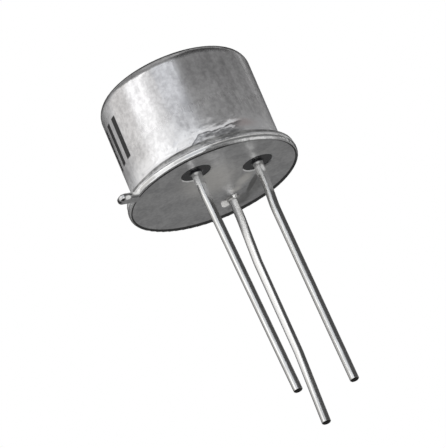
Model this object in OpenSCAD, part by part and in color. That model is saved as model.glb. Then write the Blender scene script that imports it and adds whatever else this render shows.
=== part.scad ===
// Bipolar transistor in a round metal can with three wire leads.
// The origin is the centre of the header's underside. The can stands along +Z and the
// leads run down along -Z: the emitter lead at -X, the base lead at -Y and the collector
// lead at +X. The index tab lies between +Y and the emitter lead.

/* [Header] */
// Diameter of the header's flange
header_d = 9.2; // [8.9:0.05:9.6]
// Thickness of the header's flange and of the index tab
header_flange_t = 0.33; // [0.31:0.01:0.5]
// Radius on the lower edge of the header's flange
header_edge_r = 0.15; // [0.04:0.01:0.16]
// Radius on the two edges that meet at the joint between the header's and the cap's flange
joint_edge_r = 0.05; // [0.03:0.01:0.08]
// Height of the header's platform above its flange
platform_h = 0.95; // [0.6:0.05:1.4]
// Radius on the platform's top edge
platform_edge_r = 0.12; // [0.04:0.01:0.2]
// Gap all round between the platform and the cap's wall
platform_gap = 0.14; // [0.05:0.01:0.2]

/* [Index tab] */
// Width of the index tab
tab_w = 0.76; // [0.7:0.01:0.9]
// How far the index tab reaches past the header's flange
tab_l = 0.92; // [0.7:0.01:1.2]
// Radius on the index tab's two outer corners, seen from above
tab_corner_r = 0.3; // [0.18:0.01:0.34]
// Radius on the index tab's upper and lower edges
tab_edge_r = 0.14; // [0.05:0.01:0.15]
// Angle from the emitter lead to the index tab
tab_angle = 45; // [40:1:50]

/* [Cap] */
// Outer diameter of the cap's wall
cap_d = 8.1; // [8:0.02:8.4]
// Height of the cap's top above the header's underside
can_h = 6.18; // [5:0.05:7]
// Thickness of the sheet that the cap is drawn from
cap_sheet_t = 0.25; // [0.23:0.01:0.32]
// Outer radius on the cap's top edge
cap_top_r = 0.75; // [0.4:0.05:1.2]
// Diameter of the cap's flange
cap_flange_d = 9.12; // [8.9:0.02:9.3]
// Radius on the upper edge of the cap's flange
cap_edge_r = 0.11; // [0.03:0.01:0.11]
// Outer radius where the cap's wall turns into its flange
cap_foot_r = 0.08; // [0.04:0.01:0.12]

/* [Glass seals] */
// Diameter of each glass seal
seal_d = 1.6; // [1.4:0.02:1.8]
// Depth of the glass below the header's underside, and width of the hole's chamfer
seal_recess = 0.05; // [0.03:0.01:0.1]
// How far the glass creeps down along a lead from the header's underside
creep_l = 0.68; // [0.4:0.02:0.9]
// Thickness of the glass that creeps along a lead
creep_t = 0.03; // [0.02:0.005:0.05]
// Radius where the seal's face turns into the glass along the lead
creep_r = 0.14; // [0.08:0.01:0.2]

/* [Leads] */
// Diameter of the circle that the leads stand on
lead_circle_d = 5.08; // [4.9:0.02:5.2]
// Diameter of each lead's wire
lead_d = 0.48; // [0.4:0.01:0.53]
// Length of the emitter lead below the header
emitter_lead_l = 12.85; // [12.7:0.05:38]
// Length of the base lead below the header
base_lead_l = 12.8; // [12.7:0.05:38]
// Length of the collector lead below the header
collector_lead_l = 13.2; // [12.7:0.05:38]
// Chamfer on the cut end of each lead
lead_chamfer = 0.05; // [0.02:0.01:0.1]

/* [Lead bends] */
// Direction that a lead with a positive bend leans to, seen from above
bend_direction = -76; // [-180:1:180]
// Radius of every bend, at the middle of the wire
bend_r = 6; // [3:0.5:10]
// Distance from the header to the emitter lead's bend
emitter_bend_at = 1.1; // [1:0.1:11]
// Angle of the emitter lead's bend
emitter_bend = 2.2; // [-4:0.1:4]
// Distance from the header to the base lead's first bend
base_bend_1_at = 1.1; // [1:0.1:1.4]
// Angle of the base lead's first bend
base_bend_1 = -3.4; // [-4:0.1:4]
// Distance from the header to the base lead's second bend
base_bend_2_at = 2.3; // [2.2:0.1:11]
// Angle of the base lead's second bend
base_bend_2 = 4.8; // [-5:0.1:5]
// Distance from the header to the collector lead's first bend
collector_bend_1_at = 1.1; // [1:0.1:2.4]
// Angle of the collector lead's first bend
collector_bend_1 = -1.9; // [-4:0.1:4]
// Distance from the header to the collector lead's second bend
collector_bend_2_at = 3.6; // [3:0.1:8]
// Angle of the collector lead's second bend
collector_bend_2 = 3.1; // [-4:0.1:4]
// Distance from the header to the collector lead's third bend
collector_bend_3_at = 9; // [8.5:0.1:12]
// Angle of the collector lead's third bend
collector_bend_3 = -2.6; // [-4:0.1:4]

/* [Collector braze] */
// Radius of the braze fillet round the collector lead's root
braze_r = 0.14; // [0.1:0.01:0.4]
// Thickness of the braze at the fillet's two thin edges
braze_lip = 0.03; // [0.02:0.01:0.05]

/* [Posts] */
// Height of the two inner posts above the platform
post_h = 0.55; // [0.35:0.05:0.9]
// Diameter of the flattened head on each inner post
post_head_d = 0.72; // [0.56:0.02:1]
// Thickness of the flattened head
post_head_t = 0.14; // [0.08:0.02:0.2]

/* [Chip and wires] */
// Side of the square chip
chip_w = 1; // [0.6:0.05:1.4]
// Thickness of the chip
chip_t = 0.2; // [0.1:0.01:0.3]
// Side of the square solder layer under the chip
solder_w = 1.25; // [0.7:0.05:1.6]
// Thickness of the solder layer
solder_t = 0.05; // [0.03:0.01:0.1]
// Diameter of each bond wire
bond_wire_d = 0.12; // [0.05:0.01:0.15]
// Height of each bond wire's arc above the straight line between its feet
bond_arc_h = 0.7; // [0.4:0.05:0.9]
// Diameter of the flattened foot at each end of a bond wire
bond_foot_d = 0.26; // [0.2:0.01:0.3]
// Height of that foot
bond_foot_h = 0.12; // [0.1:0.01:0.16]
// Distance from the chip's centre to each bond foot on it
bond_pad_x = 0.28; // [0.2:0.01:0.35]

/* [Hidden] */
$fn = 96;
wire_fn = 48;
// A cut reaches this far past the surface that it opens
cut = 0.5;
// Least radius of a rounding whose wall leaves it none
least_r = 0.01;
// Step of a coarse move
coarse_step = 0.01;
lead_circle_r = lead_circle_d / 2;
lead_r = lead_d / 2;
seal_r = seal_d / 2;
header_r = header_d / 2;
cap_r = cap_d / 2;
cap_flange_r = cap_flange_d / 2;
cap_inner_r = cap_r - cap_sheet_t;
platform_r = cap_inner_r - platform_gap;
platform_z = header_flange_t + platform_h;
post_z = platform_z + post_h;
chip_z = platform_z + solder_t;
bond_z = chip_z + chip_t;
emitter_at = 180;
base_at = 270;
collector_at = 0;

// Puts its children on the lead circle, at an angle seen from above
module on_circle(angle) {
    translate([lead_circle_r * cos(angle), lead_circle_r * sin(angle), 0]) children();
}

// A flat ring or disc of a half section: from radius r0 to r1, z0 to z1, round at its outer edges
module rounded_disc_section(r0, r1, z0, z1, r_low, r_high) {
    difference() {
        translate([r0, z0]) square([r1 - r0, z1 - z0]);
        if (r_low > 0) translate([r1 - r_low, z0]) square([r_low, r_low]);
        if (r_high > 0) translate([r1 - r_high, z1 - r_high]) square([r_high, r_high]);
    }
    if (r_low > 0) translate([r1 - r_low, z0 + r_low]) corner_pie(r_low, 270);
    if (r_high > 0) translate([r1 - r_high, z1 - r_high]) corner_pie(r_high, 0);
}

// A quarter of a disc that starts at an angle
module corner_pie(r, start) {
    rotate(start) intersection() {
        circle(r);
        square(r);
    }
}

// The hole that the glass fills, with its chamfer at the underside
module seal_hole() {
    translate([0, 0, -cut]) cylinder(r = seal_r, h = platform_z + 2 * cut);
    cylinder(r1 = seal_r + seal_recess, r2 = seal_r, h = seal_recess);
}

// A plate's cross section, centred on Y: from z 0 up to its thickness, round at all four edges
module plate_section(width, thickness, edge_r) {
    for (side = [0, 1]) mirror([side, 0])
        rounded_disc_section(0, width / 2, 0, thickness, edge_r, edge_r);
}

// The index tab along +X, from inside the flange out to its round corners
module index_tab() {
    inner = header_r / 2;
    corner_x = header_r + tab_l - tab_corner_r;
    corner_y = tab_w / 2 - tab_corner_r;
    translate([inner, 0, 0]) rotate([90, 0, 90])
        linear_extrude(corner_x - inner) plate_section(tab_w, header_flange_t, tab_edge_r);
    translate([corner_x, corner_y, 0]) rotate([90, 0, 0])
        linear_extrude(2 * corner_y)
            plate_section(2 * tab_corner_r, header_flange_t, tab_edge_r);
    for (side = [-1, 1])
        translate([corner_x, side * corner_y, 0]) rotate_extrude()
            rounded_disc_section(0, tab_corner_r, 0, header_flange_t, tab_edge_r, tab_edge_r);
}

module header() {
    color([0.52, 0.52, 0.51]) difference() {
        union() {
            rotate_extrude() {
                rounded_disc_section(0, header_r, 0, header_flange_t,
                    header_edge_r, joint_edge_r);
                rounded_disc_section(0, platform_r, 0, platform_z, 0, platform_edge_r);
            }
            rotate([0, 0, emitter_at - tab_angle]) index_tab();
        }
        for (angle = [emitter_at, base_at]) on_circle(angle) seal_hole();
    }
}

// Half section of the drawn cap: top, wall and flange from one sheet
module cap_section() {
    foot_z = header_flange_t + cap_sheet_t;
    inner_top_r = max(cap_top_r - cap_sheet_t, least_r);
    inner_foot_r = cap_foot_r + cap_sheet_t;
    difference() {
        union() {
            rounded_disc_section(0, cap_r, header_flange_t, can_h, 0, cap_top_r);
            rounded_disc_section(0, cap_flange_r, header_flange_t, foot_z,
                joint_edge_r, cap_edge_r);
            // the fillet between the wall and the flange
            difference() {
                translate([cap_r - cap_sheet_t / 2, foot_z - cap_sheet_t / 2])
                    square(cap_foot_r + cap_sheet_t / 2);
                translate([cap_r + cap_foot_r, foot_z + cap_foot_r]) circle(cap_foot_r);
            }
        }
        // the inside, round at its top
        rounded_disc_section(0, cap_inner_r, header_flange_t - cut, can_h - cap_sheet_t,
            0, inner_top_r);
        // the inside of the bend at the foot
        difference() {
            translate([cap_inner_r - cut, header_flange_t - cut])
                square([cut + inner_foot_r, cut + inner_foot_r]);
            translate([cap_inner_r + inner_foot_r, header_flange_t + inner_foot_r])
                circle(inner_foot_r);
            translate([cap_inner_r, header_flange_t + inner_foot_r])
                square([inner_foot_r + cut, cut]);
        }
    }
}

module cap() {
    color([0.78, 0.78, 0.79]) rotate_extrude() cap_section();
}

// Half section of a glass seal: the bead in its hole and the glass that creeps down the lead
module seal_section() {
    face_z = seal_recess;
    translate([lead_r, face_z]) square([seal_r - lead_r, platform_z - face_z]);
    difference() {
        translate([lead_r, -creep_l])
            square([creep_t + creep_r, creep_l + face_z]);
        translate([lead_r + creep_t + creep_r, face_z - creep_r]) circle(creep_r);
        translate([lead_r + creep_t, -creep_l - cut])
            square([creep_r + cut, creep_l + cut + face_z - creep_r]);
    }
}

module glass_seal(angle) {
    color([0.10, 0.10, 0.11]) on_circle(angle) rotate_extrude() seal_section();
}

module emitter_seal() {
    glass_seal(emitter_at);
}

module base_seal() {
    glass_seal(base_at);
}

// Moves its children in a coarse and a fine step, which keeps more digits of the distance
module fine_move(v) {
    coarse = [for (x = v) round(x / coarse_step) * coarse_step];
    translate(coarse) translate(v - coarse) children();
}

// A wire that starts at the origin and runs down: each step is [straight length, bend angle].
// The last step ends in the cut end. A positive bend leans the rest towards +X.
module bent_wire(steps, i = 0) {
    straight = steps[i][0];
    bend = steps[i][1];
    last = i == len(steps) - 1;
    chamfer = last ? lead_chamfer : 0;
    translate([0, 0, -straight + chamfer]) cylinder(r = lead_r, h = straight - chamfer);
    if (last)
        translate([0, 0, -straight])
            cylinder(r1 = lead_r - chamfer, r2 = lead_r, h = chamfer);
    else
        translate([0, 0, -straight]) {
            mirror([bend < 0 ? 1 : 0, 0, 0])
                translate([bend_r, 0, 0]) rotate([90, 0, 0]) rotate([0, 0, 180])
                    rotate_extrude(angle = abs(bend)) translate([bend_r, 0]) circle(lead_r);
            fine_move([sign(bend) * bend_r * (1 - cos(bend)), 0, -bend_r * sin(abs(bend))])
                rotate([0, -bend, 0]) bent_wire(steps, i + 1);
        }
}

// Length of wire in a bend
function bend_length(bend) = bend_r * abs(bend) * PI / 180;

// The straight runs between the bends of a lead: bends are [distance from the header, angle]
function wire_steps(bends, length) = [
    for (i = [0 : len(bends)])
        let (from = i == 0 ? 0 : bends[i - 1][0] + bend_length(bends[i - 1][1]),
             to = i == len(bends) ? length : bends[i][0])
        [to - from, i == len(bends) ? 0 : bends[i][1]]
];

module lead(angle, bends, length) {
    on_circle(angle) rotate([0, 0, bend_direction]) bent_wire(wire_steps(bends, length));
}

// The part of a lead inside the can: straight through the glass, with a flattened head
module inner_post(angle) {
    on_circle(angle) {
        cylinder(r = lead_r, h = post_z - post_head_t / 2);
        translate([0, 0, post_z - post_head_t]) cylinder(d = post_head_d, h = post_head_t);
    }
}

module emitter_lead() {
    color([0.80, 0.80, 0.80]) {
        inner_post(emitter_at, $fn = wire_fn);
        lead(emitter_at, [[emitter_bend_at, emitter_bend]], emitter_lead_l, $fn = wire_fn);
    }
}

module base_lead() {
    color([0.80, 0.80, 0.80]) {
        inner_post(base_at, $fn = wire_fn);
        lead(base_at, [[base_bend_1_at, base_bend_1], [base_bend_2_at, base_bend_2]],
            base_lead_l, $fn = wire_fn);
    }
}

module collector_lead() {
    color([0.80, 0.80, 0.80])
        lead(collector_at, [[collector_bend_1_at, collector_bend_1],
            [collector_bend_2_at, collector_bend_2],
            [collector_bend_3_at, collector_bend_3]], collector_lead_l, $fn = wire_fn);
}

module collector_braze() {
    reach = braze_r + braze_lip;
    color([0.72, 0.71, 0.68]) on_circle(collector_at)
        rotate_extrude($fn = wire_fn) difference() {
            translate([lead_r, -reach]) square(reach);
            translate([lead_r + reach, -reach]) circle(braze_r);
        }
}

module chip() {
    color([0.30, 0.31, 0.36]) translate([-chip_w / 2, -chip_w / 2, chip_z])
        cube([chip_w, chip_w, chip_t]);
}

module chip_solder() {
    color([0.80, 0.66, 0.36]) translate([-solder_w / 2, -solder_w / 2, platform_z])
        cube([solder_w, solder_w, solder_t]);
}

// A bond wire in the XZ plane: an arc from the foot on the chip to the foot on the post
module bond_wire(angle) {
    span = lead_circle_r - bond_pad_x;
    rise = post_z - bond_z;
    chord = norm([span, rise]);
    arc_r = (chord * chord / 4 + bond_arc_h * bond_arc_h) / (2 * bond_arc_h);
    half = asin(chord / 2 / arc_r);
    tilt = atan2(rise, span);
    foot_mid = bond_foot_h / 2;
    rotate([0, 0, angle]) {
        translate([bond_pad_x, 0, bond_z]) {
            cylinder(d = bond_foot_d, h = bond_foot_h);
            translate([0, 0, foot_mid]) rotate([0, -tilt, 0])
                translate([chord / 2, 0, bond_arc_h - arc_r])
                    rotate([90, 0, 0]) rotate([0, 0, 90 - half])
                        rotate_extrude(angle = 2 * half)
                            translate([arc_r, 0]) circle(d = bond_wire_d);
        }
        translate([lead_circle_r, 0, post_z]) cylinder(d = bond_foot_d, h = bond_foot_h);
    }
}

module emitter_wire() {
    color([0.86, 0.86, 0.86]) bond_wire(emitter_at, $fn = wire_fn);
}

module base_wire() {
    color([0.86, 0.86, 0.86]) bond_wire(base_at, $fn = wire_fn);
}

header();
cap();
emitter_seal();
base_seal();
emitter_lead();
base_lead();
collector_lead();
collector_braze();
chip();
chip_solder();
emitter_wire();
base_wire();
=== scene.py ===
import math

import bmesh
import bpy
from mathutils import Matrix, Vector


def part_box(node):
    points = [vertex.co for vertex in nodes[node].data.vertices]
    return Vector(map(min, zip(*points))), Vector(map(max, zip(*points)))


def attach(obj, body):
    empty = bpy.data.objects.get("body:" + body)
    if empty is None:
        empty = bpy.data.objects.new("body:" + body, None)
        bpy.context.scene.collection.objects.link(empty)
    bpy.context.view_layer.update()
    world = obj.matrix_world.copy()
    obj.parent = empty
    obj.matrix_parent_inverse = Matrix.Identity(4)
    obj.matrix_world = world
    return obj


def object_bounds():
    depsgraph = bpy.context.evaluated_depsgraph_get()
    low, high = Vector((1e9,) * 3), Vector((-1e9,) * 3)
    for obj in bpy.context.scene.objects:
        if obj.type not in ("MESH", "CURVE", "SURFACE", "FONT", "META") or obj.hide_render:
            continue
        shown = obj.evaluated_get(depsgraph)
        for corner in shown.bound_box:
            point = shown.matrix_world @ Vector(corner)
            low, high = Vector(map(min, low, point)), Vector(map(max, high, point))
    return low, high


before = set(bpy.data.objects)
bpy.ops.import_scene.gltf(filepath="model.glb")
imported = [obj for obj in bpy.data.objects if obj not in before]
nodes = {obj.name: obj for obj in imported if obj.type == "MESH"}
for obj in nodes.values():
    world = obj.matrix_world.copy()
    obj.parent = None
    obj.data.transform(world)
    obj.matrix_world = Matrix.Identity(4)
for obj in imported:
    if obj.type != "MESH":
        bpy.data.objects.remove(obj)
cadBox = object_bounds()
scene = bpy.context.scene
mm = 0.001
print("frame loaded:", len(nodes), "nodes")


def fromMm(*lengths):
    return tuple(length * mm for length in lengths)


# Camera: it looks up at the header's underside, and the can leans left.
# Azimuth 0 looks along +Y and 90 along -X. Lengths are in mm.
cameraSettings = {
    "target": (0.612, 0.516, -1.8),
    "azimuth": -76.42,
    "elevation": -21.89,
    "roll": 23.06,
    "distance": 303.7,
    "lens": 482.14,
    "clip": (5, 5000),
}


def makeCamera(settings):
    azimuth = math.radians(settings["azimuth"])
    elevation = math.radians(settings["elevation"])
    back = Vector((math.sin(azimuth) * math.cos(elevation),
                   -math.cos(azimuth) * math.cos(elevation), math.sin(elevation)))
    data = bpy.data.cameras.new("viewCamera")
    data.lens = settings["lens"]
    data.clip_start, data.clip_end = fromMm(*settings["clip"])
    camera = bpy.data.objects.new("viewCamera", data)
    scene.collection.objects.link(camera)
    turn = (-back).to_track_quat("-Z", "Y").to_matrix() @ Matrix.Rotation(
        math.radians(-settings["roll"]), 3, "Z")
    place = Vector(fromMm(*settings["target"])) + back * settings["distance"] * mm
    camera.matrix_world = Matrix.Translation(place) @ turn.to_4x4()
    scene.camera = camera


makeCamera(cameraSettings)
scene.view_settings.view_transform = "Standard"
print("camera placed")


# Node helpers
def newMaterial(name):
    material = bpy.data.materials.new(name)
    material.use_nodes = True
    tree = material.node_tree
    return material, tree, tree.nodes["Principled BSDF"]


def addNode(tree, kind, settings=(), inputs=()):
    node = tree.nodes.new(kind)
    for name, value in dict(settings).items():
        setattr(node, name, value)
    for name, value in dict(inputs).items():
        socket = node.inputs[name]
        if isinstance(value, bpy.types.NodeSocket):
            tree.links.new(value, socket)
        else:
            socket.default_value = value
    return node


def placeGroup(tree, group, **inputs):
    return addNode(tree, "ShaderNodeGroup", {"node_tree": group}, inputs).outputs[0]


# One operation over two or more values in turn, or on a single value
def maths(tree, operation, first, *others):
    for other in others or (0.0,):
        first = addNode(tree, "ShaderNodeMath", {"operation": operation}, {0: first, 1: other}).outputs[0]
    return first


def allBut(tree, mask, share=1.0):
    return maths(tree, "SUBTRACT", 1.0, maths(tree, "MULTIPLY", mask, share))


def mean(tree, a, b):
    return maths(tree, "MULTIPLY", maths(tree, "ADD", a, b), 0.5)


# A base value and more of it where a mask is full
def patchy(tree, mask, base, more):
    return maths(tree, "ADD", base, maths(tree, "MULTIPLY", mask, more))


def ramp(tree, value, low, high, toLow=0.0, toHigh=1.0):
    return addNode(tree, "ShaderNodeMapRange", {"interpolation_type": "SMOOTHSTEP"}, {
        "Value": value, "From Min": low, "From Max": high,
        "To Min": toLow, "To Max": toHigh}).outputs[0]


# The same over a length that is given in mm
def rampMm(tree, value, low, high, toLow=0.0, toHigh=1.0):
    return ramp(tree, value, low * mm, high * mm, toLow, toHigh)


# Full between the end of its rise and the start of its fall
def band(tree, value, rise, fall):
    return maths(tree, "MULTIPLY", ramp(tree, value, *rise), ramp(tree, value, *fall, 1.0, 0.0))


def bandMm(tree, value, rise, fall):
    return band(tree, value, fromMm(*rise), fromMm(*fall))


def mixColour(tree, factor, a, b):
    return addNode(tree, "ShaderNodeMix", {"data_type": "RGBA"}, {0: factor, 6: a, 7: b}).outputs[2]


def coat(tree, under, mask, colour, strength):
    return mixColour(tree, maths(tree, "MULTIPLY", mask, strength), under, colour)


def noise(tree, vector, scale, detail, roughness, distortion=0.0):
    return addNode(tree, "ShaderNodeTexNoise", inputs={
        "Vector": vector, "Scale": scale, "Detail": detail, "Roughness": roughness,
        "Distortion": distortion}).outputs[0]


def split(tree, vector):
    return addNode(tree, "ShaderNodeSeparateXYZ", inputs={0: vector}).outputs


# Distance from the Z axis
def fromAxis(tree, axes):
    flat = addNode(tree, "ShaderNodeCombineXYZ", inputs={0: axes[0], 1: axes[1]}).outputs[0]
    return addNode(tree, "ShaderNodeVectorMath", {"operation": "LENGTH"}, {0: flat}).outputs["Value"]


def objectCoords(tree):
    return addNode(tree, "ShaderNodeTexCoord").outputs["Object"]


def bumpFrom(tree, height, depth, normal=None):
    inputs = {"Height": height, "Distance": depth * mm, "Strength": 1.0}
    if normal is not None:
        inputs["Normal"] = normal
    return addNode(tree, "ShaderNodeBump", inputs=inputs).outputs[0]


# A group's inputs are numbers, or vectors where their default has three parts; it puts out one mask
def groupTree(name, inputs):
    tree = bpy.data.node_groups.new(name, "ShaderNodeTree")
    tree.interface.new_socket("Vector", in_out="INPUT", socket_type="NodeSocketVector")
    for label, value in inputs.items():
        kind = "NodeSocketVector" if isinstance(value, tuple) else "NodeSocketFloat"
        socket = tree.interface.new_socket(label, in_out="INPUT", socket_type=kind)
        socket.default_value = value
    tree.interface.new_socket("Mask", in_out="OUTPUT", socket_type="NodeSocketFloat")
    return tree, tree.nodes.new("NodeGroupInput").outputs, tree.nodes.new("NodeGroupOutput").inputs["Mask"]


# Streaks of drawn metal: noise squeezed across and stretched along Z
def makeStreaks():
    tree, given, mask = groupTree("drawnStreaks", {"Across": 1.0, "Along": 0.1, "Low": 0.4, "High": 0.6})
    scale = addNode(tree, "ShaderNodeCombineXYZ", inputs={
        0: given["Across"], 1: given["Across"], 2: given["Along"]}).outputs[0]
    squeezed = addNode(tree, "ShaderNodeVectorMath", {"operation": "MULTIPLY"},
                       {0: given["Vector"], 1: scale}).outputs[0]
    streak = noise(tree, squeezed, 1.0, 4.0, 0.55)
    tree.links.new(ramp(tree, streak, given["Low"], given["High"]), mask)
    return tree


# Cloudy marks of handling and plating
def makeSmudges():
    tree, given, mask = groupTree("smudges", {"Scale": 500.0, "Low": 0.4, "High": 0.6, "Warp": 0.6})
    smudge = noise(tree, given["Vector"], given["Scale"], 5.0, 0.6, given["Warp"])
    tree.links.new(ramp(tree, smudge, given["Low"], given["High"]), mask)
    return tree


# A soft spot: full at its centre, gone at the edge of its size, in metres
def makeSpot():
    tree, given, mask = groupTree("softSpot", {
        "Centre": (0, 0, 0), "Turn": (0, 0, 0), "Size": fromMm(1, 1, 1), "Core": 0.2})
    local = addNode(tree, "ShaderNodeMapping", {"vector_type": "TEXTURE"}, {
        "Vector": given["Vector"], "Location": given["Centre"], "Rotation": given["Turn"],
        "Scale": given["Size"]}).outputs[0]
    away = addNode(tree, "ShaderNodeVectorMath", {"operation": "LENGTH"}, {0: local}).outputs["Value"]
    tree.links.new(ramp(tree, away, given["Core"], 1.0, 1.0, 0.0), mask)
    return tree


# A band round the Z axis: outside a radius and between two heights, in metres
def makeRimBand():
    tree, given, mask = groupTree("rimBand", {
        "Radius": 4.4 * mm, "Low": 0.0, "High": 0.3 * mm, "Soft": 0.04 * mm})
    axes = split(tree, given["Vector"])
    radius, low, high, soft = (given[label] for label in ("Radius", "Low", "High", "Soft"))
    outside = ramp(tree, fromAxis(tree, axes), maths(tree, "SUBTRACT", radius, soft), radius)
    within = band(tree, axes[2], (maths(tree, "SUBTRACT", low, soft), maths(tree, "ADD", low, soft)),
                  (maths(tree, "SUBTRACT", high, soft), maths(tree, "ADD", high, soft)))
    tree.links.new(maths(tree, "MULTIPLY", outside, within), mask)
    return tree


streaks = makeStreaks()
smudges = makeSmudges()
softSpot = makeSpot()
rimBand = makeRimBand()
print("shared effects:", len(bpy.data.node_groups))


# A soft spot with its centre and half sizes in mm, turned about Z by degrees
def spotAt(tree, coords, centre, size, core, turn=0.0):
    return placeGroup(tree, softSpot, Vector=coords, Centre=fromMm(*centre), Size=fromMm(*size), Core=core,
                      Turn=(0, 0, math.radians(turn)))


# A rim band with its radius, heights and softness in mm
def rimAt(tree, coords, radius, low, high, soft):
    return placeGroup(tree, rimBand, Vector=coords, Radius=radius * mm, Low=low * mm, High=high * mm,
                      Soft=soft * mm)


# A point out and across from the Z axis at an angle in degrees, and up
def aroundAxis(angle, out, across, up):
    return Matrix.Rotation(math.radians(angle), 3, "Z") @ Vector((out, across, up))


# The angle round the can from the emitter's side, -X, in radians; it jumps at +X
def emitterAngle(tree, axes):
    return maths(tree, "ARCTAN2", maths(tree, "MULTIPLY", axes[1], -1.0),
                 maths(tree, "MULTIPLY", axes[0], -1.0))


# Cap: nickel plate on drawn sheet, with plain printed bars. Lengths and heights are in mm
capFinish = {
    "clean": (0.75, 0.745, 0.75, 1),
    "dull": (0.41, 0.405, 0.41, 1),
    # burnished metal at the wall's foot, also the painted highlight of the burr, its ridges and patches, and
    # lighter painted reflections
    "burnishedAndHighlight": (0.90, 0.90, 0.91, 1),
    "footShade": (0.22, 0.22, 0.22, 1),         # painted shade on the flange's rim and the foot of the wall
    "footShadeLight": (0.42, 0.42, 0.415, 1),
    "creased": (0.16, 0.16, 0.17, 1),         # painted shade in the drag marks' grooves and under the burr
    "draggedAndShade": (0.32, 0.32, 0.33, 1),         # matt metal under the burr, also a darker painted reflection on the wall
    "flush": (0.60, 0.47, 0.46, 1),           # faint heat tint beside the weld
    "ink": (0.004, 0.004, 0.005, 1),
    "cloudShare": 0.28,                       # how far clouds and broad streaks dull the plate, then grain
    "grainShare": 0.44,
    "flushSpot": ((-2.6, -3.1, 1.3), (1.5, 1.5, 0.4), 0.1),     # centre, half sizes, core
    "flushShare": 0.5,
    "metallicTop": 0.70,
    "metallicFoot": 0.62,
    "metallicCrown": 0.96,                    # the rounded top edge keeps a brighter polish
    "metallicClimb": (2.8, 5.2),
    "crownClimb": (5.45, 5.75),
    "whiteHighlights": 0.7,                      # painted highlights are this much less of a mirror
    "roughTop": 0.16,
    "roughFoot": 0.30,
    "roughClimb": (0.9, 5.0),
    "roughSpread": 0.08,
    "roughFootShade": 0.15,
    "roughInk": 0.5,
    "lid": (6.170, 6.179),                    # the flat top is more matt
    "lidRough": 0.20,
    "lidDull": 0.35,
    "barCentre": 120.0,                       # degrees round the can, counted from +X
    "barStep": 11.0,
    "barCount": 4,
    "barWidth": 5.6,
    "barSide": 0.02,                          # softness of the sides, as a share of the step
    "barHeights": (2.35, 4.75),
    "barEnd": 0.03,
    "footShadeBand": ((0.38, 0.42), (0.81, 0.87)),  # painted shade at the flange's rim and the wall's foot: where it begins, and where it ends
    # painted highlight of a burr over the drag marks, with a painted shadow under it: angles in radians from
    # -X
    "burrHeight": 1.17,
    "burrLift": (0.47, 0.6),                  # it climbs after this angle, in mm for each radian
    "burrStep": (0.11, 0.30, 0.40),           # from and to these angles it starts this much lower
    "burrPeak": (0.25, 0.31, 0.38, 0.50, 0.13),     # it rises and falls between these, by this much
    "burrRun": ((-0.62, -0.40), (0.74, 0.96)),      # where it begins, and where it ends
    "burrWave": 0.26,
    # heights from the burr's lower edge: where each part begins, and where it ends
    "burrBand": ((-0.01, 0.02), (0.09, 0.20)),
    "burrShadow": ((-0.10, -0.05), (-0.03, 0.0)),
    "burrUnder": (-0.04, 0.0),
    "marksReach": (0.1, 0.7),
    "marksFrom": (0.02, 0.22),                # the marks begin between these angles
    "marksScale": (7.5, 5200.0),              # marks for each radian and for each metre of height
    "grooves": (0.38, 0.48),
    "ridges": (0.52, 0.62),
    "marksDepth": 0.04,
    # colours and strengths under the burr, of the painted shade in the grooves, the painted highlight on the
    # ridges, the painted shadow under the burr and the painted highlight on it
    "burrTones": (("draggedAndShade", 0.75), ("creased", 0.55), ("burnishedAndHighlight", 0.55), ("creased", 0.7),
                  ("burnishedAndHighlight", 1.0)),
    # painted shade, a dark line in the fold where the wall meets the flange: heights, then angles from -X
    "foldShade": ((0.69, 0.74), (0.83, 0.88)),
    "foldShadeRun": ((-0.75, -0.35), (0.18, 0.34)),
    "foldShadeShare": 0.85,
    "foldShadeBreaks": (0.36, 0.56, 1.0, 0.35),    # it fades between these values of the noise, to the last
    # spots on the wall: angle in degrees from +X, height, half width, half height, core, strength
    "wallRadius": 4.05,
    # painted highlights: bright patches along the burr
    "patches": ((190.0, 1.40, 0.75, 0.42, 0.3, 0.9), (183.5, 1.12, 0.55, 0.22, 0.3, 0.9),
                (206.5, 1.85, 0.45, 0.20, 0.3, 0.6)),
    "patchBreaks": (0.40, 0.54),
    # painted reflections: lighter and darker spots on the wall, with the name of their colour last
    "reflectionPatches": ((202.0, 5.1, 0.42, 0.9, 0.2, 0.55, "burnishedAndHighlight"),
              (179.0, 2.1, 0.75, 0.8, 0.2, 0.35, "burnishedAndHighlight"),
              (198.5, 3.1, 0.46, 1.0, 0.2, 0.50, "draggedAndShade")),
    # the foot of the wall is burnished and rippled by the press tool
    "burnish": (1.45, 2.4),
    "burnishShare": 0.85,
    "rippleRise": (0.87, 0.95),
    "rippleFall": (0.95, 2.3),
    "ripplePitch": 0.46,
    "rippleRagged": 0.9,
    "rippleDepth": 0.032,
    "waveDepth": 0.09,
    "waveFade": (0.9, 2.4, 0.12),             # the waves fade between these heights, to this share
    "brushDepth": 0.0005,
}


def makeRipples(tree, coords, height, wave, finish):
    ragged = maths(tree, "ADD", height, maths(tree, "MULTIPLY", wave, finish["rippleRagged"] * mm))
    ripple = maths(tree, "SINE", maths(tree, "MULTIPLY", ragged, 2 * math.pi / (finish["ripplePitch"] * mm)))
    broken = placeGroup(tree, smudges, Vector=coords, Scale=700.0, Low=0.42, High=0.54, Warp=0.5)
    pressed = rampMm(tree, ragged, *finish["burnish"], finish["burnishShare"], 0.0)
    rising = rampMm(tree, height, *finish["rippleRise"])
    falling = rampMm(tree, ragged, *finish["rippleFall"], 1.0, 0.0)
    return pressed, maths(tree, "MULTIPLY", ripple, broken, rising, falling)
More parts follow.
